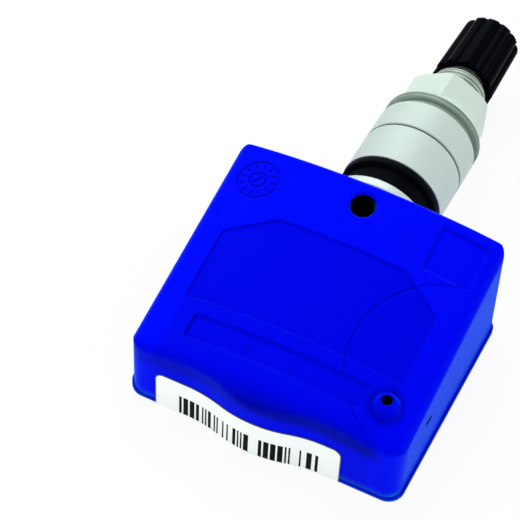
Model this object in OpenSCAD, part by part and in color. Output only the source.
// Tyre pressure sensor on a clamp-in wheel valve.
// Sizes are in millimetres. X is the width of the housing, +Y points out through the valve and +Z
// points up from the flat base to the curved roof. The origin is the centre of the flat base.

/* [Housing] */
// Width of the housing across the valve
housing_w = 51; // [49:0.5:54]
// Depth of the housing along the valve, without the bulge of its front wall
housing_d = 43; // [42:0.5:46]
// Height of the back wall at its middle, over the valve
back_h = 25; // [23.5:0.5:27]
// Height of the front wall at its middle
front_h = 16.6; // [16:0.2:19]
// Radius of the roof across the width, which follows the well of a wheel rim
roof_r = 128; // [110:1:180]
// Thickness of the moulded walls
wall_t = 1.8; // [1.4:0.1:2]
// Thickness of the moulded roof
roof_t = 2; // [1.6:0.1:2.2]
// Radius of the two upright corners at the front
front_corner_r = 3; // [2:0.5:4]
// Radius of the two upright corners at the valve end
back_corner_r = 2; // [1:0.5:3]
// Rounding between the roof and the front wall
front_round_r = 4; // [2:0.2:5]
// Rounding between the roof and the back wall
back_round_r = 0.9; // [0.7:0.1:2]
// Rounding between the roof and the side walls
side_round_r = 2.2; // [0.8:0.1:2.6]
// How far the middle of the front wall bulges forward
bulge_h = 1.8; // [1.2:0.1:2.4]
// Half of the width of that bulge
bulge_half_w = 13; // [11:0.5:15]
// Middle of that bulge across the width
bulge_x = -1; // [-2:0.5:1]

/* [Base cover] */
// Thickness of the welded base plate
cover_t = 1.2; // [1:0.1:1.5]
// How far its lip stands out of the side walls
lip_w = 0.4; // [0.3:0.05:1]
// Height of the locating rim inside the housing
rim_h = 1.6; // [1.2:0.1:2]
// Thickness of that rim
rim_t = 1.2; // [0.8:0.1:1.6]
// Clearance between the rim and the walls
rim_gap = 0.15; // [0.1:0.05:0.2]

/* [Marks on the roof] */
// Depth of the wide shallow panel
panel_depth = 0.25; // [0.15:0.05:0.4]
// Distance of the panel's sides from the side walls
panel_from_side = 5.2; // [4.4:0.1:6]
// Half width of the panel's back edge, between its cut corners
panel_back_half_w = 12; // [10:0.2:14]
// Back edge of the panel along the depth
panel_back_y = 8.8; // [8:0.2:10]
// Place where the panel's cut corners end
panel_corner_y = 3.6; // [2:0.2:5]
// Front edge of the panel along the depth
panel_front_y = -10; // [-11:0.2:-9]
// Depth of the long strip near the front
strip_depth = 0.45; // [0.3:0.05:0.6]
// Distance of the strip's left end from the left wall
strip_from_left = 8.5; // [6.5:0.5:10]
// Distance of the strip's right end from the right wall
strip_from_right = 9.9; // [9.5:0.2:11.5]
// Back edge of the strip
strip_y1 = -12.7; // [-13:0.1:-12.4]
// Front edge of the strip
strip_y0 = -17.2; // [-18:0.2:-16]
// Depth of the square recess in the corner by the valve
pocket_depth = 0.35; // [0.2:0.05:0.5]
// Distance of its left edge from the right wall
pocket_from_side = 11.3; // [9.5:0.1:12]
// Front edge of that recess
pocket_y0 = 10.6; // [10.2:0.2:13]
// Back edge of that recess
pocket_y1 = 19.2; // [18:0.2:20]
// Radius of the round mould witness that is centred on the right wall
witness_r = 16.6; // [15:0.2:17]
// Middle of that witness along the depth
witness_y = -5.5; // [-6:0.5:-4]
// Width of the fine witness line
witness_line_w = 0.3; // [0.2:0.05:0.4]
// Depth of the fine witness line
witness_depth = 0.12; // [0.08:0.02:0.2]
// Radius of the date dial
dial_r = 3.8; // [3.4:0.1:4]
// Distance of the dial's middle from the left wall
dial_from_side = 6.3; // [6.1:0.1:8]
// Distance of the dial's middle from the back wall
dial_from_back = 6.6; // [6:0.2:8]
// Depth of the dial's rings and marks
dial_depth = 0.2; // [0.1:0.05:0.3]
// Width of the dial's rings and marks
dial_line_w = 0.3; // [0.2:0.05:0.4]
// Number of marks round the dial
dial_marks = 12; // [8:1:16]
// Length of the slot that the mould leaves in the right wall
slot_l = 2.2; // [1.5:0.1:3]
// Height of that slot
slot_h = 0.9; // [0.4:0.1:1.2]
// Depth of that slot
slot_depth = 0.8; // [0.4:0.1:1]
// Distance of its middle from the front wall
slot_from_front = 12; // [10:0.5:14]
// Height of its lower edge over the base
slot_z = 9.4; // [8:0.2:10]

/* [Ports] */
// Radius of the air outlet beside the valve
outlet_r = 2.25; // [2:0.05:2.4]
// Chamfer round the outlet's mouth
outlet_chamfer = 0.35; // [0.2:0.05:0.5]
// Distance of the outlet from the back wall
outlet_from_back = 4.6; // [4:0.1:5]
// Distance of the pressure port from the right wall
port_from_side = 6.1; // [5.8:0.1:7]
// Place of the pressure port along the depth
port_y = -14.4; // [-14.8:0.2:-13.6]
// Radius of the pressure port's pinhole
port_r = 1; // [0.8:0.05:1.1]
// Angle of the port's dome to its axis
port_slope = 34; // [30:1:38]
// Radius of the dome's round shoulder at the pinhole
port_round_r = 0.8; // [0.6:0.1:0.8]
// Height of the raised cone over the roof
port_h = 1.5; // [1:0.1:1.8]
// Wall of the tube that leads down from the port
port_tube_t = 1.3; // [1:0.1:1.5]

/* [Circuit] */
// Height of the board's underside over the base
board_z = 4.6; // [4:0.2:5]
// Thickness of the circuit board
board_t = 1.6; // [1.2:0.2:1.6]
// Clearance between the board and the walls
board_gap = 0.5; // [0.3:0.1:0.8]
// Diameter of the coin cell
cell_d = 24.5; // [23:0.5:24.5]
// Thickness of the coin cell
cell_t = 5; // [4:0.1:5]
// Distance of the coin cell's edge from the left wall of the cavity
cell_from_side = 5.05; // [4.4:0.05:6]
// Distance of the coin cell's edge from the front wall of the cavity
cell_from_front = 1.85; // [1:0.05:2.2]
// Thickness of the nickel tabs on the cell
tab_t = 0.3; // [0.2:0.05:0.4]
// Width of the nickel tabs
tab_w = 4; // [3:0.5:5]
// Side of the pressure chip
chip_w = 5; // [4:0.5:5.5]
// Height of the pressure chip
chip_h = 2.2; // [1.8:0.1:2.4]
// Height of the gasket between the chip and the port tube
gasket_h = 1.2; // [0.8:0.1:1.4]
// Radius of the aerial's wire
aerial_r = 0.5; // [0.4:0.05:0.6]
// Height of the aerial's wire over the board
aerial_h = 3; // [2.5:0.5:3.5]
// Radius of the posts that hold the board from above and from below
post_r = 1.6; // [1.2:0.1:1.6]
// Place of the front posts along the depth
post_front_y = -9; // [-9.5:0.5:-8]
// Place of the back posts along the depth
post_back_y = 10.6; // [9:0.2:11]
// Width of the controller chip, without its leads
controller_w = 5; // [4.4:0.2:6]
// Length of the controller chip
controller_l = 8; // [7.6:0.2:8.2]
// Thickness of the controller chip
controller_h = 1.5; // [1:0.1:1.6]
// Distance of the controller chip from the block that holds the valve
controller_from_boss = 2.15; // [2:0.05:2.6]
// Middle of the controller chip along the depth
controller_y = 13.4; // [12.6:0.2:13.6]
// Leads on each side of the controller chip
controller_leads = 9; // [7:1:9]
// Length of the quartz crystal
quartz_l = 5; // [4:0.5:5]
// Width of the quartz crystal
quartz_w = 3.2; // [2.4:0.2:3.4]
// Height of the quartz crystal
quartz_h = 1.4; // [1:0.1:2]
// Distance of the quartz crystal's middle from the right wall of the cavity
quartz_from_side = 7.2; // [6.8:0.1:8]
// Middle of the quartz crystal along the depth
quartz_y = 16.4; // [16:0.1:17]
// Radius of the motion switch's can
switch_r = 2.6; // [2.2:0.1:2.8]
// Height of the motion switch's can
switch_h = 4; // [3:0.5:5]
// Width of the rim at the foot of that can
switch_rim_w = 0.4; // [0.2:0.1:0.5]
// Gap between that rim and the block that holds the valve
switch_from_boss = 0.8; // [0.5:0.1:1.2]
// Middle of the motion switch along the depth
switch_y = 11; // [10.4:0.2:11.2]
// Length of the trigger coil
coil_l = 9; // [8:0.5:9]
// Width of the trigger coil
coil_w = 3; // [2.6:0.2:3]
// Thickness of the flanges at the trigger coil's ends
coil_flange_t = 1.2; // [0.8:0.1:1.4]
// Distance of the trigger coil's middle from the right wall of the cavity
coil_from_side = 6.7; // [6:0.1:7]
// Middle of the trigger coil along the depth
coil_y = 1.6; // [1.4:0.1:2]
// Length of each chip capacitor
capacitor_l = 2; // [1.6:0.1:2.2]
// Width of each chip capacitor
capacitor_w = 1.2; // [0.8:0.1:1.4]
// Height of each chip capacitor
capacitor_h = 0.9; // [0.6:0.1:1.2]
// Distance between the chip capacitors' middles
capacitor_pitch = 2; // [1.8:0.1:2.2]

/* [Label] */
// Distance of the label's left end from the left wall
label_from_left = 5.5; // [5:0.1:8]
// Distance of the label's right end from the right wall
label_from_right = 10.4; // [9.4:0.1:12]
// Height of the label's top edge
label_top = 9; // [8:0.2:9.6]
// Height of the label's bottom edge
label_bottom = 0.1; // [0.1:0.1:0.6]
// Radius of the label's two top corners
label_corner_r = 1.6; // [1:0.1:2]
// Thickness of the label
label_t = 0.15; // [0.1:0.01:0.2]

/* [Valve stem] */
// Height of the valve's axis where it leaves the back wall
valve_z = 12.4; // [12:0.1:13]
// Angle by which the valve leans down from the level of the base
valve_dip = 3; // [0:0.5:4]
// Radius of the tail that is moulded into the housing
tail_r = 4; // [3.6:0.1:4.2]
// Length of that tail
tail_l = 11.5; // [10:0.5:12]
// Clearance round the moulded-in tail
tail_gap = 0.03; // [0.02:0.01:0.05]
// Gap between the back wall and the lowest point of the stem's flange
flange_gap = 0.1; // [0.05:0.05:0.3]
// Radius of the stem's flange
flange_r = 10.4; // [9.8:0.1:10.6]
// Thickness of the stem's flange
flange_t = 2.26; // [2:0.02:3]
// Rounding of the flange's two edges
flange_edge_r = 0.6; // [0.3:0.1:0.8]
// Radius of the shank inside the grommet
shank_r = 4.3; // [4:0.1:4.5]
// Radius of the thread for the nut
thread_r = 5.25; // [5:0.05:5.3]
// Radius of the thread for the cap
cap_thread_r = 3.85; // [3.8:0.01:3.9]
// Length of the cap's thread
cap_thread_l = 11.6; // [11:0.1:12]
// Length of the nut's thread that shows beyond the nut
neck_l = 4.8; // [4.6:0.1:6]
// Radius of the air bore
bore_r = 1.6; // [1.4:0.05:1.7]
// Radius of the cross hole that meets the outlet
vent_r = 1.3; // [1:0.05:1.4]
// Half width of the block inside the housing that holds the tail
boss_hw = 7.4; // [6.6:0.2:8]
// Wall of that block in front of the tail
boss_wall = 2; // [1.5:0.1:2.4]

/* [Grommet, collars and nut] */
// Outer radius of the two collars
collar_r = 9.65; // [9.4:0.05:9.8]
// Radius of the rubber grommet's flange
grommet_r = 9.55; // [9.3:0.05:9.6]
// Length of the grommet's flange, from the stem's flange to the collar
grommet_l = 6.1; // [5.5:0.1:6.5]
// Length of its full-width edge
grommet_edge_l = 1.1; // [0.9:0.1:1.5]
// Radius of its waist against the stem's flange
grommet_waist_r = 7.9; // [7.4:0.1:8.4]
// Radius of the sleeve that fills the hole in the rim
sleeve_r = 5.65; // [5.6:0.05:5.7]
// Length of that sleeve
sleeve_l = 5.4; // [4.5:0.1:6]
// Length of the inner collar
rim_collar_l = 9.1; // [8:0.1:10]
// Length of the outer collar
outer_collar_l = 7.2; // [6.5:0.1:8]
// Chamfer at the outer collar's end
collar_chamfer = 0.6; // [0.3:0.1:0.8]
// Chamfer at the inner collar's end, which shows as a fine groove
groove_chamfer = 0.3; // [0.1:0.05:0.4]
// Radial clearance between the thread and what slides over it
slide_gap = 0.15; // [0.1:0.01:0.2]
// Radial running clearance of the nut on its thread
run_gap = 0.08; // [0.05:0.01:0.1]
// Radius of the washer under the nut
washer_r = 8.7; // [7.8:0.1:9]
// Thickness of the washer
washer_t = 1.4; // [1:0.1:1.6]
// Size of the hexagon across its flats
hex_af = 14.6; // [13:0.2:15]
// Thickness of the nut's round flange
nut_flange_t = 0.9; // [0.7:0.1:1.2]
// Length of the cone between the flange and the hexagon
nut_cone_l = 3.4; // [3:0.1:4]
// Length of the nut with its flange
nut_l = 9.4; // [8.5:0.1:9.6]

/* [Valve core] */
// Radius of the core's threaded chamber
chamber_r = 2.7; // [2.6:0.05:2.8]
// Depth of that chamber from the end of the stem
chamber_l = 8; // [7.5:0.1:8.5]
// Radius of the barrel's chamber below it
barrel_chamber_r = 2.2; // [2.1:0.05:2.3]
// Length of the barrel's chamber
barrel_chamber_l = 8.4; // [8.2:0.1:9]
// Radius of the core's pin
pin_r = 0.45; // [0.4:0.05:0.5]
// How far the pin travels when it is pressed
pin_travel = 1; // [0.8:0.1:1.2]
// How far the pin's tip lies inside the end of the stem
pin_below = 0.6; // [0.4:0.1:0.8]
// Length of the core's threaded plug
plug_l = 4.6; // [4:0.1:5]
// How far the plug's top lies inside the end of the stem
plug_below = 1; // [1:0.1:1.2]
// Radius of the hole through the plug
plug_hole_r = 0.9; // [0.8:0.05:1]
// Radius of the pin's foot under the seal
pin_foot_r = 1.2; // [1:0.05:1.4]
// Radial gap between the core's barrel and its chamber
barrel_gap = 0.15; // [0.1:0.01:0.2]
// Radius of the barrel's bore, round the spring
barrel_bore_r = 1.25; // [1.2:0.05:1.4]
// Gap between the barrel's tip and the floor of its chamber
barrel_tip_gap = 2.2; // [2.2:0.1:2.6]
// Thickness of the barrel's floor, on which the spring stands
barrel_floor_t = 0.8; // [0.6:0.1:1]
// Thickness of the seal under the barrel
core_seal_t = 1; // [0.8:0.1:1]
// Number of turns in the core's spring
spring_turns = 5; // [4:1:6]
// Mean radius of the spring
spring_r = 0.95; // [0.9:0.01:0.96]
// Radius of the spring's wire
spring_wire_r = 0.16; // [0.12:0.01:0.18]

/* [Cap] */
// Radius of the cap over its ribs, at the mouth
cap_r = 6.15; // [5.9:0.05:6.3]
// Radius of the cap over its ribs, at the closed end
cap_top_r = 5.8; // [5.6:0.05:5.9]
// Length of the cap
cap_l = 14.1; // [14:0.1:15]
// Number of ribs round the cap
cap_ribs = 12; // [10:1:16]
// Radius of each rounded rib
rib_r = 1.35; // [1.1:0.05:1.4]
// Depth of the grooves between the ribs
rib_depth = 0.6; // [0.4:0.05:0.7]
// Rounding at the cap's closed end
cap_round_r = 0.6; // [0.4:0.1:1.2]
// How far the cap's mouth is opened out beyond the thread
mouth_relief = 0.9; // [0.6:0.1:1]
// Depth of that opening
mouth_relief_l = 0.8; // [0.5:0.1:1.2]
// Running clearance of the cap on its thread
cap_gap = 0.08; // [0.06:0.01:0.1]
// Gap between the shoulder of the stem and the cap's mouth
cap_shoulder_gap = 1.1; // [0.6:0.1:1.2]
// Thickness of the cap's seal
seal_t = 1.2; // [1:0.1:1.4]

/* [Hidden] */
$fn = 72;
// Facets of the very large roof radius
roof_fn = 480;
// Facets of small roundings
small_fn = 16;
// Overrun of a cut past the face that it opens
over = 1;
// Small offset that keeps two rounded faces from running into each other
edge_step = 0.02;

// Slope of the roof from the front wall up to the valve
roof_a = atan((back_h - front_h) / housing_d);
// Height of the roof's middle line over the centre of the base
roof_mid_h = (front_h + back_h) / 2;
// Depth to which the roof's solid reaches, enough to pass the base
roof_reach = 45;
// Limits of the plan along the depth
back_y = housing_d / 2;
front_y = -housing_d / 2;
// Inner limits of the cavity
cavity_hw = housing_w / 2 - wall_t;
cavity_back_y = back_y - wall_t;
cavity_front_y = front_y + wall_t;
cavity_corner_r = 1.5;
// Places that follow the side walls
panel_half_w = housing_w / 2 - panel_from_side;
strip_x0 = -housing_w / 2 + strip_from_left;
strip_x1 = housing_w / 2 - strip_from_right;
pocket_x0 = housing_w / 2 - pocket_from_side;
label_x0 = -housing_w / 2 + label_from_left;
label_x1 = housing_w / 2 - label_from_right;
port_x = housing_w / 2 - port_from_side;
cell_x = -cavity_hw + cell_from_side + cell_d / 2;
cell_y = cavity_front_y + cell_from_front + cell_d / 2;
// Radius of the two arcs on each side of the bulge
bulge_r = (pow(bulge_half_w / 2, 2) + pow(bulge_h / 2, 2)) / bulge_h;
// Top face of the board
board_top = board_z + board_t;

// Stations along the valve's axis, counted from the back wall
flange_s0 = round(100 * (flange_gap + flange_r * sin(valve_dip))) / 100;
flange_s = flange_s0 + flange_t;
grommet_s = flange_s + grommet_l;
rim_collar_s = grommet_s + rim_collar_l;
outer_collar_s = rim_collar_s + outer_collar_l;
washer_s = outer_collar_s + washer_t;
nut_s = washer_s + nut_l;
shoulder_s = nut_s + neck_l;
stem_end_s = shoulder_s + cap_thread_l;
cap_mouth_s = shoulder_s + cap_shoulder_gap;
cap_end_s = cap_mouth_s + cap_l;
// The outlet's place along the valve's axis
outlet_y = back_y - outlet_from_back;
outlet_s = -outlet_from_back / cos(valve_dip);
// Bottom of the core's chambers
chamber_s = stem_end_s - chamber_l;
barrel_s = chamber_s - barrel_chamber_l;

// Height of the roof's outer face over the base
function roof_z(x, y) =
    roof_mid_h + y * tan(roof_a) - (roof_r - sqrt(roof_r * roof_r - x * x)) / cos(roof_a);

// Places its children on the middle of the sloping roof
module on_roof() {
    translate([0, 0, roof_mid_h])
        rotate([roof_a, 0, 0])
            children();
}

// Places its children on the valve's axis, with +Z pointing out of the housing
module on_valve(s = 0) {
    translate([0, back_y, valve_z])
        rotate([-90 - valve_dip, 0, 0])
            translate([0, 0, s])
                children();
}

// A ring or disc between two stations of the valve's axis
module ring(s0, s1, outer, inner = 0) {
    translate([0, 0, s0])
        difference() {
            cylinder(h = s1 - s0, r = outer);
            if (inner > 0)
                translate([0, 0, -over])
                    cylinder(h = s1 - s0 + 2 * over, r = inner);
        }
}

// Rounded rectangle between two corners, made of bars and round corners
module round_rect(x0, x1, y0, y1, r) {
    translate([x0 + r, y0])
        square([x1 - x0 - 2 * r, y1 - y0]);
    translate([x0, y0 + r])
        square([x1 - x0, y1 - y0 - 2 * r]);
    for (x = [x0 + r, x1 - r], y = [y0 + r, y1 - r])
        translate([x, y])
            circle(r = r);
}

// The bulge of the front wall: one crest arc between two hollow flank arcs
module bulge_outline() {
    difference() {
        translate([bulge_x - bulge_half_w, front_y - bulge_h / 2])
            square([2 * bulge_half_w, bulge_h]);
        for (side = [-1, 1])
            translate([bulge_x + side * bulge_half_w, front_y - bulge_r])
                circle(r = bulge_r, $fn = roof_fn);
    }
    intersection() {
        translate([bulge_x, front_y - bulge_h + bulge_r])
            circle(r = bulge_r, $fn = roof_fn);
        translate([bulge_x - bulge_half_w / 2, front_y - 2 * bulge_h])
            square([bulge_half_w, 1.5 * bulge_h]);
    }
}

// The housing seen from above, widened by lip on its two sides
module plan_outline(lip = 0) {
    hw = housing_w / 2 + lip;
    translate([-hw + front_corner_r, front_y])
        square([2 * (hw - front_corner_r), housing_d / 2]);
    translate([-hw + back_corner_r, 0])
        square([2 * (hw - back_corner_r), housing_d / 2]);
    translate([-hw, front_y + front_corner_r])
        square([2 * hw, housing_d - front_corner_r - back_corner_r]);
    for (side = [-1, 1]) {
        translate([side * (hw - front_corner_r), front_y + front_corner_r])
            circle(r = front_corner_r);
        translate([side * (hw - back_corner_r), back_y - back_corner_r])
            circle(r = back_corner_r);
    }
    bulge_outline();
}

// Section of the roof along the depth, rounded at both ends, with x as the distance from the axis
module roof_section() {
    f_y = front_y - bulge_h - edge_step;
    b_y = back_y + edge_step;
    f_c = (f_y + front_round_r) / cos(roof_a) - front_round_r * tan(roof_a);
    b_c = (b_y - back_round_r) / cos(roof_a) - back_round_r * tan(roof_a);
    polygon([
        [roof_r, f_c],
        [roof_r, b_c],
        [roof_r - back_round_r * (1 + sin(roof_a)), b_c + back_round_r * cos(roof_a)],
        [roof_r - roof_reach, (b_y - roof_reach * sin(roof_a)) / cos(roof_a) + over],
        [roof_r - roof_reach, (f_y - roof_reach * sin(roof_a)) / cos(roof_a) - over],
        [roof_r - front_round_r * (1 - sin(roof_a)), f_c - front_round_r * cos(roof_a)]
    ]);
    translate([roof_r - front_round_r, f_c])
        circle(r = front_round_r);
    translate([roof_r - back_round_r, b_c])
        circle(r = back_round_r);
}

// Solid of revolution whose outer face is the roof
module roof_solid() {
    on_roof()
        translate([0, 0, -roof_r])
            rotate([-90, 0, 0])
                rotate_extrude($fn = roof_fn)
                    roof_section();
}

// A plain round bar under the roof, by which inner faces and recesses follow it
module roof_bar(drop) {
    on_roof()
        translate([0, 0, -roof_r])
            rotate([-90, 0, 0])
                translate([0, 0, -roof_reach])
                    cylinder(h = 2 * roof_reach, r = roof_r - drop, $fn = roof_fn);
}

// Cutter that rounds the edge between the roof and one side wall
module side_round_cutter() {
    c_x = housing_w / 2 + edge_step - side_round_r;
    c_r = roof_r + edge_step - side_round_r;
    c_z = sqrt(c_r * c_r - c_x * c_x) - roof_r;
    t_x = c_x * roof_r / c_r;
    on_roof()
        rotate([90, 0, 0])
            translate([0, 0, -roof_reach])
                linear_extrude(height = 2 * roof_reach)
                    difference() {
                        translate([t_x, c_z])
                            square([side_round_r + over, side_round_r + 2 * over]);
                        translate([c_x, c_z])
                            circle(r = side_round_r);
                    }
}

// The housing's outer form: upright walls under the rounded roof
module outer_form() {
    difference() {
        intersection() {
            translate([0, 0, cover_t])
                linear_extrude(height = roof_reach)
                    plan_outline();
            roof_solid();
        }
        side_round_cutter();
        mirror([1, 0, 0])
            side_round_cutter();
    }
}

// The room inside the housing, open at the base
module cavity() {
    intersection() {
        linear_extrude(height = roof_reach)
            round_rect(-cavity_hw, cavity_hw, cavity_front_y, cavity_back_y, cavity_corner_r);
        roof_bar(roof_t);
    }
}

// Recess of even depth in the roof, from a flat outline
module roof_recess(depth) {
    difference() {
        translate([0, 0, front_h / 2])
            linear_extrude(height = back_h)
                children();
        roof_bar(depth);
    }
}

// Front of the block that holds the stem's tail
boss_front_y = back_y - tail_l * cos(valve_dip) - boss_wall;
// The upper posts grow out of the side walls, the lower ones stand against the cover's rim
upper_post_x = cavity_hw - 0.6;
lower_post_x = cavity_hw - rim_gap - post_r - 0.3;

// Every post's place on the plan
module at_posts(post_x) {
    for (x = [-post_x, post_x], y = [post_front_y, post_back_y])
        translate([x, y, 0])
            children();
}

// The wide panel with its two cut corners
module panel_outline() {
    polygon([
        [-panel_back_half_w, panel_back_y], [panel_back_half_w, panel_back_y],
        [panel_half_w, panel_corner_y], [panel_half_w, panel_front_y],
        [-panel_half_w, panel_front_y], [-panel_half_w, panel_corner_y]
    ]);
}

// The part of the round witness line that lies on the roof
module witness_outline() {
    intersection() {
        translate([housing_w / 2, witness_y])
            difference() {
                circle(r = witness_r);
                circle(r = witness_r - witness_line_w);
            }
        translate([0, front_y + 1.4])
            square([housing_w / 2 - side_round_r - over / 2, housing_d]);
    }
}

// Two rings, a ring of short marks and a pointer
module date_dial() {
    for (r = [dial_r, dial_r * 0.42])
        difference() {
            circle(r = r);
            circle(r = r - dial_line_w);
        }
    for (i = [0 : dial_marks - 1])
        rotate(i * 360 / dial_marks)
            translate([dial_r * 0.62, -dial_line_w / 2])
                square([dial_r * 0.22, dial_line_w]);
    rotate(50)
        translate([-dial_r * 0.3, -dial_line_w / 2])
            square([dial_r * 0.6, dial_line_w]);
}

// Half section of the pressure port's dome, up from the middle of the roof's thickness
module port_section() {
    shoulder_x = port_r + port_round_r * cos(port_slope);
    shoulder_z = port_h - port_round_r * (1 - sin(port_slope));
    foot_x = shoulder_x + (shoulder_z + roof_t / 2) * tan(port_slope);
    polygon([[0, -roof_t / 2], [foot_x, -roof_t / 2], [shoulder_x, shoulder_z], [0, shoulder_z]]);
    translate([port_r, port_h - port_round_r])
        circle(r = port_round_r);
}

module housing() {
    color("#0a1eff")
    difference() {
        union() {
            difference() {
                outer_form();
                difference() {
                    cavity();
                    // block round the stem's tail
                    translate([-boss_hw, boss_front_y, board_top])
                        cube([2 * boss_hw, housing_d, back_h]);
                    // tube from the port down to the gasket
                    translate([port_x, port_y, board_top + chip_h + gasket_h])
                        cylinder(h = back_h, r = port_r + port_tube_t);
                    translate([0, 0, board_top])
                        at_posts(upper_post_x)
                            cylinder(h = back_h, r = post_r);
                }
                translate([0, 0, -over])
                    linear_extrude(height = cover_t + over)
                        plan_outline(over);
                // shallow marks in the roof
                roof_recess(panel_depth)
                    panel_outline();
                roof_recess(witness_depth)
                    witness_outline();
                roof_recess(panel_depth + witness_depth)
                    intersection() {
                        panel_outline();
                        witness_outline();
                    }
                roof_recess(strip_depth)
                    round_rect(strip_x0, strip_x1, strip_y0, strip_y1, 0.6);
                roof_recess(pocket_depth)
                    translate([pocket_x0, pocket_y0])
                        square([housing_w / 2 - side_round_r - pocket_x0 - over / 2,
                            pocket_y1 - pocket_y0]);
                roof_recess(dial_depth)
                    translate([-housing_w / 2 + dial_from_side, back_y - dial_from_back])
                        date_dial();
            }
            // raised dome of the pressure port
            translate([port_x, port_y, roof_z(port_x, port_y)])
                rotate_extrude()
                    port_section();
        }
        // pinhole of the pressure port
        translate([port_x, port_y, board_top])
            cylinder(h = back_h + over, r = port_r);
        // air outlet, with its chamfered mouth
        translate([0, outlet_y, valve_z])
            cylinder(h = back_h, r = outlet_r);
        translate([0, outlet_y, roof_z(0, outlet_y)])
            rotate([roof_a, 0, 0])
                translate([0, 0, -2 * outlet_chamfer])
                    cylinder(h = 3 * outlet_chamfer, r1 = outlet_r - outlet_chamfer,
                        r2 = outlet_r + 2 * outlet_chamfer);
        // seat of the stem's tail
        on_valve(-tail_l)
            cylinder(h = tail_l + over, r = tail_r + tail_gap);
        // slot that the mould leaves in the right wall
        translate([housing_w / 2 - slot_depth, front_y + slot_from_front - slot_l / 2, slot_z])
            cube([slot_depth + over, slot_l, slot_h]);
    }
}

module base_cover() {
    color("#0a1eff") {
        linear_extrude(height = cover_t)
            plan_outline(lip_w);
        translate([0, 0, cover_t])
            linear_extrude(height = rim_h)
                difference() {
                    round_rect(-cavity_hw + rim_gap, cavity_hw - rim_gap,
                        cavity_front_y + rim_gap, cavity_back_y - rim_gap, cavity_corner_r);
                    round_rect(-cavity_hw + rim_gap + rim_t, cavity_hw - rim_gap - rim_t,
                        cavity_front_y + rim_gap + rim_t, cavity_back_y - rim_gap - rim_t,
                        cavity_corner_r);
                }
        translate([0, 0, cover_t])
            at_posts(lower_post_x)
                cylinder(h = board_z - cover_t, r = post_r);
    }
}

module label() {
    color("white")
    intersection() {
        linear_extrude(height = label_top)
            difference() {
                translate([0, -label_t])
                    label_base();
                label_base();
            }
        translate([0, front_y + over, 0])
            rotate([90, 0, 0])
                linear_extrude(height = 2 * over + bulge_h + label_t) {
                    translate([label_x0, label_bottom])
                        square([label_x1 - label_x0, label_top - label_bottom - label_corner_r]);
                    translate([label_x0 + label_corner_r, label_top - 2 * label_corner_r])
                        square([label_x1 - label_x0 - 2 * label_corner_r, 2 * label_corner_r]);
                    for (x = [label_x0 + label_corner_r, label_x1 - label_corner_r])
                        translate([x, label_top - label_corner_r])
                            circle(r = label_corner_r);
                }
    }
}

// The front wall's outline behind the label
module label_base() {
    translate([-housing_w / 2 + front_corner_r, front_y])
        square([housing_w - 2 * front_corner_r, 2 * over]);
    bulge_outline();
}

module circuit_board() {
    color("#1f6b3a")
        translate([0, 0, board_z])
            linear_extrude(height = board_t)
                round_rect(-cavity_hw + board_gap, cavity_hw - board_gap,
                    cavity_front_y + board_gap, cavity_back_y - board_gap, 1);
}

// Underside of the coin cell, on its lower tab
cell_z = board_top + tab_t;

module battery_cell() {
    color("silver")
        translate([cell_x, cell_y, cell_z])
            rotate_extrude() {
                square([cell_d / 2 - 1.2, cell_t]);
                translate([0, 0.9])
                    square([cell_d / 2 - 0.4, cell_t - 0.9]);
                translate([0, 1.3])
                    square([cell_d / 2, cell_t - 1.7]);
                translate([cell_d / 2 - 0.4, cell_t - 0.4])
                    circle(r = 0.4, $fn = small_fn);
            }
}

// The upper tab runs over the can and down to the board on the right
module battery_tab_positive() {
    side_x = cell_x + cell_d / 2 + 0.3;
    color("gainsboro") {
        translate([cell_x, cell_y - tab_w / 2, cell_z + cell_t])
            cube([side_x + tab_t - cell_x, tab_w, tab_t]);
        translate([side_x, cell_y - tab_w / 2, board_top])
            cube([tab_t, tab_w, cell_z + cell_t + tab_t - board_top]);
        translate([side_x, cell_y - tab_w / 2, board_top])
            cube([3, tab_w, tab_t]);
    }
}

// The lower tab lies between the cell and the board
module battery_tab_negative() {
    color("gainsboro")
        translate([cell_x - cell_d / 2 - 2, cell_y - tab_w / 2, board_top])
            cube([cell_d / 2 + 6, tab_w, tab_t]);
}

module pressure_chip() {
    color("#202022")
        translate([port_x, port_y, board_top])
            difference() {
                translate([-chip_w / 2, -chip_w / 2, 0])
                    cube([chip_w, chip_w, chip_h]);
                translate([0, 0, chip_h - 0.5])
                    cylinder(h = over, r = 0.6);
            }
}

module port_gasket() {
    color("#3a3a3e")
        translate([port_x, port_y, board_top + chip_h])
            rotate_extrude()
                translate([port_r + 0.1, 0])
                    square([port_tube_t - 0.1, gasket_h]);
}

// A flat package with a row of leads on two sides
module leaded_chip(w, d, h, leads, pitch) {
    translate([-w / 2, -d / 2, 0.15])
        cube([w, d, h]);
    for (i = [0 : leads - 1], side = [-1, 1])
        translate([side * (w / 2 + 0.3) - 0.45, (i - (leads - 1) / 2) * pitch - 0.15, 0])
            cube([0.9, 0.3, 0.5]);
}

module controller_chip() {
    color("#26262a")
        translate([-boss_hw - controller_from_boss - controller_w / 2, controller_y, board_top])
            leaded_chip(controller_w, controller_l, controller_h, controller_leads, 0.8);
}

module quartz_crystal() {
    color("silver")
        translate([cavity_hw - quartz_from_side, quartz_y, board_top])
            linear_extrude(height = quartz_h)
                round_rect(-quartz_l / 2, quartz_l / 2, -quartz_w / 2, quartz_w / 2, 0.6);
}

module motion_switch() {
    color("goldenrod")
        translate([boss_hw + switch_from_boss + switch_rim_w + switch_r, switch_y, board_top]) {
            cylinder(h = switch_h, r = switch_r);
            cylinder(h = 0.5, r = switch_r + switch_rim_w);
        }
}

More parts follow.
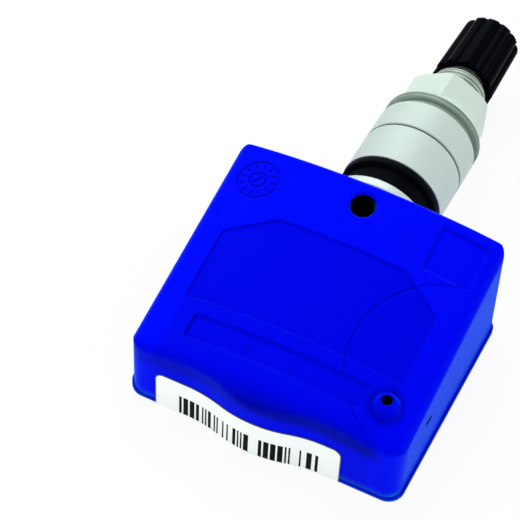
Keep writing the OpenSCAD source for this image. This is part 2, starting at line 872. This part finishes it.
module trigger_coil_core() {
    color("#3b3b3d")
        translate([cavity_hw - coil_from_side, coil_y, board_top]) {
            for (side = [-1, 1])
                translate([-coil_w / 2, side * (coil_l - coil_flange_t) / 2 - coil_flange_t / 2, 0])
                    cube([coil_w, coil_flange_t, coil_w]);
            translate([-coil_w / 4, -(coil_l - coil_flange_t) / 2, coil_w / 4])
                cube([coil_w / 2, coil_l - coil_flange_t, coil_w / 2]);
        }
}

module trigger_coil_winding() {
    color("#b5652a")
        translate([cavity_hw - coil_from_side, coil_y, board_top + coil_w / 2])
            rotate([-90, 0, 0])
                difference() {
                    cylinder(h = coil_l - 2 * coil_flange_t, r = coil_w / 2 - 0.05, center = true);
                    cube([coil_w / 2, coil_w / 2, coil_l], center = true);
                }
}

// Bent wire that stands on the board along the left wall and the back wall
module aerial_wire() {
    x0 = -upper_post_x + post_r + 0.3 + aerial_r;
    x1 = -boss_hw - 1.4;
    y0 = -17;
    y1 = cavity_back_y - board_gap - aerial_r - 0.4;
    z = board_top + aerial_h;
    color("#c77a3a") {
        translate([x0, y0, board_top])
            cylinder(h = aerial_h, r = aerial_r);
        translate([x0, y0, z])
            sphere(r = aerial_r);
        translate([x0, y0, z])
            rotate([-90, 0, 0])
                cylinder(h = y1 - y0, r = aerial_r);
        translate([x0, y1, z])
            sphere(r = aerial_r);
        translate([x0, y1, z])
            rotate([0, 90, 0])
                cylinder(h = x1 - x0, r = aerial_r);
        translate([x1, y1, z])
            sphere(r = aerial_r);
        translate([x1, y1, board_top])
            cylinder(h = aerial_h, r = aerial_r);
    }
}

module chip_capacitors() {
    color("#b08a5a")
        for (i = [1 : 4])
            translate([port_x - chip_w / 2 - i * capacitor_pitch, cavity_front_y + board_gap + 0.6, board_top])
                cube([capacitor_w, capacitor_l, capacitor_h]);
}

module valve_stem() {
    grip_l = 1.2;
    color("#cfd8d2")
    on_valve()
        difference() {
            union() {
                ring(-tail_l, flange_s0, tail_r);
                // flange with rounded edges
                ring(flange_s0 + flange_edge_r, flange_s - flange_edge_r, flange_r);
                ring(flange_s0, flange_s, flange_r - flange_edge_r);
                for (s = [flange_s0 + flange_edge_r, flange_s - flange_edge_r])
                    translate([0, 0, s])
                        rotate_extrude()
                            translate([flange_r - flange_edge_r, 0])
                                circle(r = flange_edge_r, $fn = small_fn);
                ring(flange_s, rim_collar_s - 1, shank_r);
                ring(rim_collar_s - 1, shoulder_s - 0.4, thread_r);
                translate([0, 0, shoulder_s - 0.4])
                    cylinder(h = 0.4, r1 = thread_r, r2 = thread_r - 0.4);
                ring(shoulder_s, stem_end_s - 0.4, cap_thread_r);
                translate([0, 0, stem_end_s - 0.4])
                    cylinder(h = 0.4, r1 = cap_thread_r, r2 = cap_thread_r - 0.4);
            }
            // grip grooves on the moulded-in tail
            for (i = [0 : 2])
                translate([0, 0, -tail_l + 1.4 + i * 2 * grip_l])
                    rotate_extrude()
                        translate([tail_r - 0.4, 0])
                            square([over, grip_l / 2]);
            translate([0, 0, -tail_l + 2])
                cylinder(h = barrel_s + tail_l, r = bore_r);
            translate([0, 0, barrel_s])
                cylinder(h = stem_end_s - barrel_s, r = barrel_chamber_r);
            translate([0, 0, chamber_s])
                cylinder(h = chamber_l + over, r = chamber_r);
            // cross hole up to the outlet
            translate([0, 0, outlet_s])
                rotate([90, 0, 0])
                    cylinder(h = tail_r + over, r = vent_r);
        }
}

module rubber_grommet() {
    edge_s = grommet_s - grommet_edge_l;
    color("#151517")
    on_valve()
        difference() {
            union() {
                translate([0, 0, flange_s])
                    cylinder(h = edge_s - flange_s - 0.3, r1 = grommet_waist_r, r2 = grommet_r - 0.9);
                ring(edge_s - 0.6, grommet_s, grommet_r - 0.5);
                ring(edge_s, grommet_s - 0.3, grommet_r);
                translate([0, 0, edge_s])
                    rotate_extrude()
                        translate([grommet_r - 0.5, 0])
                            circle(r = 0.5, $fn = small_fn);
                ring(grommet_s, grommet_s + sleeve_l, sleeve_r);
            }
            translate([0, 0, flange_s - over])
                cylinder(h = grommet_l + sleeve_l + 2 * over, r = shank_r + 0.02);
        }
}

// A turned collar between two stations, chamfered at the end that faces the nut
module collar(s0, s1, chamfer) {
    ring(s0, s1 - chamfer, collar_r);
    translate([0, 0, s1 - chamfer])
        cylinder(h = chamfer, r1 = collar_r, r2 = collar_r - chamfer);
}

module rim_collar() {
    color("#d5ded8")
    on_valve()
        difference() {
            collar(grommet_s, rim_collar_s, groove_chamfer);
            translate([0, 0, grommet_s - over])
                cylinder(h = rim_collar_l + 2 * over, r = thread_r + slide_gap);
            translate([0, 0, grommet_s - over])
                cylinder(h = sleeve_l + 0.3 + over, r = sleeve_r + 0.1);
        }
}

module outer_collar() {
    color("#d5ded8")
    on_valve()
        difference() {
            collar(rim_collar_s, outer_collar_s, collar_chamfer);
            translate([0, 0, rim_collar_s - over])
                cylinder(h = outer_collar_l + 2 * over, r = thread_r + slide_gap);
        }
}

module nut_washer() {
    color("#8f9a90")
    on_valve()
        ring(outer_collar_s, washer_s, washer_r, thread_r + slide_gap);
}

module hex_nut() {
    hex_r = hex_af / 2 / cos(30);
    color("#d5ded8")
    on_valve()
        difference() {
            union() {
                ring(washer_s, washer_s + nut_flange_t, collar_r - 0.05);
                translate([0, 0, washer_s + nut_flange_t])
                    cylinder(h = nut_cone_l, r1 = collar_r - 0.35, r2 = hex_af / 2);
                // hexagon, with its corners rounded off at the outer end
                intersection() {
                    translate([0, 0, washer_s + nut_flange_t])
                        rotate(90)
                            cylinder(h = nut_l - nut_flange_t, r = hex_r, $fn = 6);
                    translate([0, 0, washer_s])
                        cylinder(h = nut_l, r1 = hex_r + nut_l, r2 = hex_r - 0.7);
                }
            }
            translate([0, 0, washer_s - over])
                cylinder(h = nut_l + 2 * over, r = thread_r + run_gap);
        }
}

// Stations and radii of the valve core's pieces
plug_top_s = stem_end_s - plug_below;
plug_s = plug_top_s - plug_l;
barrel_r = barrel_chamber_r - barrel_gap;
barrel_end_s = barrel_s + barrel_tip_gap;
pin_tip_s = stem_end_s - pin_below;
// The seal is drawn just clear of the barrel's tip, with the pin's foot under it
core_seal_s = barrel_end_s - core_seal_t - 0.05;
pin_foot_t = 0.6;
// The spring stands between the barrel's floor and the pin's collar
spring_s0 = barrel_end_s + barrel_floor_t;
pin_collar_t = 0.5;
spring_s1 = plug_s - 0.2 - pin_collar_t;

module core_plug() {
    color("#c9a24a")
    on_valve()
        difference() {
            ring(plug_s, plug_top_s, chamber_r - 0.05, plug_hole_r);
            // flats for the core key
            for (side = [-1, 1])
                translate([side * chamber_r - 1.2, -chamber_r, plug_top_s - 2])
                    cube([2.4, 2 * chamber_r, 2 + over]);
        }
}

module core_gasket() {
    color("#b4322a")
    on_valve()
        ring(chamber_s, plug_s, chamber_r - 0.1, barrel_r + 0.02);
}

module core_barrel() {
    color("#c9a24a")
    on_valve()
        difference() {
            ring(barrel_end_s, plug_s, barrel_r, pin_r + 0.25);
            translate([0, 0, spring_s0])
                cylinder(h = plug_s - spring_s0 + over, r = barrel_bore_r);
        }
}

module core_seal() {
    color("#222224")
    on_valve()
        ring(core_seal_s, core_seal_s + core_seal_t, barrel_r - 0.2, pin_r + 0.02);
}

module core_pin() {
    color("#d8b45c")
    on_valve() {
        ring(core_seal_s - pin_foot_t, pin_tip_s, pin_r);
        ring(core_seal_s - pin_foot_t, core_seal_s, pin_foot_r);
        ring(spring_s1, spring_s1 + pin_collar_t, spring_r + spring_wire_r);
    }
}

module core_spring() {
    rings = spring_turns * 12;
    sides = 6;
    rise = (spring_s1 - spring_s0 - 2 * spring_wire_r) / rings;
    function coil_point(i, k) =
        let (a = i * 360 / 12, b = k * 360 / sides)
        let (r = spring_r + spring_wire_r * cos(b))
        [r * cos(a), r * sin(a), spring_s0 + spring_wire_r + i * rise + spring_wire_r * sin(b)];
    color("#bfc4c8")
    on_valve()
        polyhedron(
            points = [for (i = [0 : rings], k = [0 : sides - 1]) coil_point(i, k)],
            faces = concat(
                [[for (k = [0 : sides - 1]) k]],
                [for (i = [0 : rings - 1], k = [0 : sides - 1])
                    [i * sides + k, (i + 1) * sides + k,
                        (i + 1) * sides + (k + 1) % sides, i * sides + (k + 1) % sides]],
                [[for (k = [sides - 1 : -1 : 0]) rings * sides + k]]
            )
        );
}

// The cap's outside: rounded ribs that lean in with its taper, up to the rounded end
module cap_form() {
    lean = atan((cap_r - cap_top_r) / cap_l);
    intersection() {
        union() {
            cylinder(h = cap_l, r1 = cap_r - rib_depth, r2 = cap_top_r - rib_depth);
            for (i = [0 : cap_ribs - 1])
                rotate(i * 360 / cap_ribs)
                    translate([cap_r - rib_r, 0, 0])
                        rotate([0, -lean, 0])
                            translate([0, 0, -over])
                                cylinder(h = cap_l + 2 * over, r = rib_r, $fn = 36);
        }
        rotate_extrude() {
            polygon([
                [0, 0], [cap_r + over, 0], [cap_top_r + edge_step, cap_l - cap_round_r],
                [cap_top_r - cap_round_r, cap_l], [0, cap_l]
            ]);
            translate([cap_top_r - cap_round_r, cap_l - cap_round_r])
                circle(r = cap_round_r, $fn = small_fn);
        }
    }
}

module valve_cap() {
    color("#101114")
    on_valve(cap_mouth_s)
        difference() {
            cap_form();
            translate([0, 0, -over])
                cylinder(h = stem_end_s - cap_mouth_s + seal_t + over, r = cap_thread_r + cap_gap);
            translate([0, 0, -over])
                cylinder(h = over + mouth_relief_l, r = cap_thread_r + mouth_relief);
        }
}

module cap_seal() {
    color("#2a2a2c")
    on_valve()
        ring(stem_end_s, stem_end_s + seal_t, cap_thread_r + cap_gap - 0.05, plug_hole_r + 0.2);
}

housing();
base_cover();
label();
circuit_board();
battery_cell();
battery_tab_positive();
battery_tab_negative();
pressure_chip();
port_gasket();
controller_chip();
quartz_crystal();
motion_switch();
trigger_coil_core();
trigger_coil_winding();
aerial_wire();
chip_capacitors();
valve_stem();
rubber_grommet();
rim_collar();
outer_collar();
nut_washer();
hex_nut();
core_plug();
core_gasket();
core_barrel();
core_seal();
core_pin();
core_spring();
valve_cap();
cap_seal();
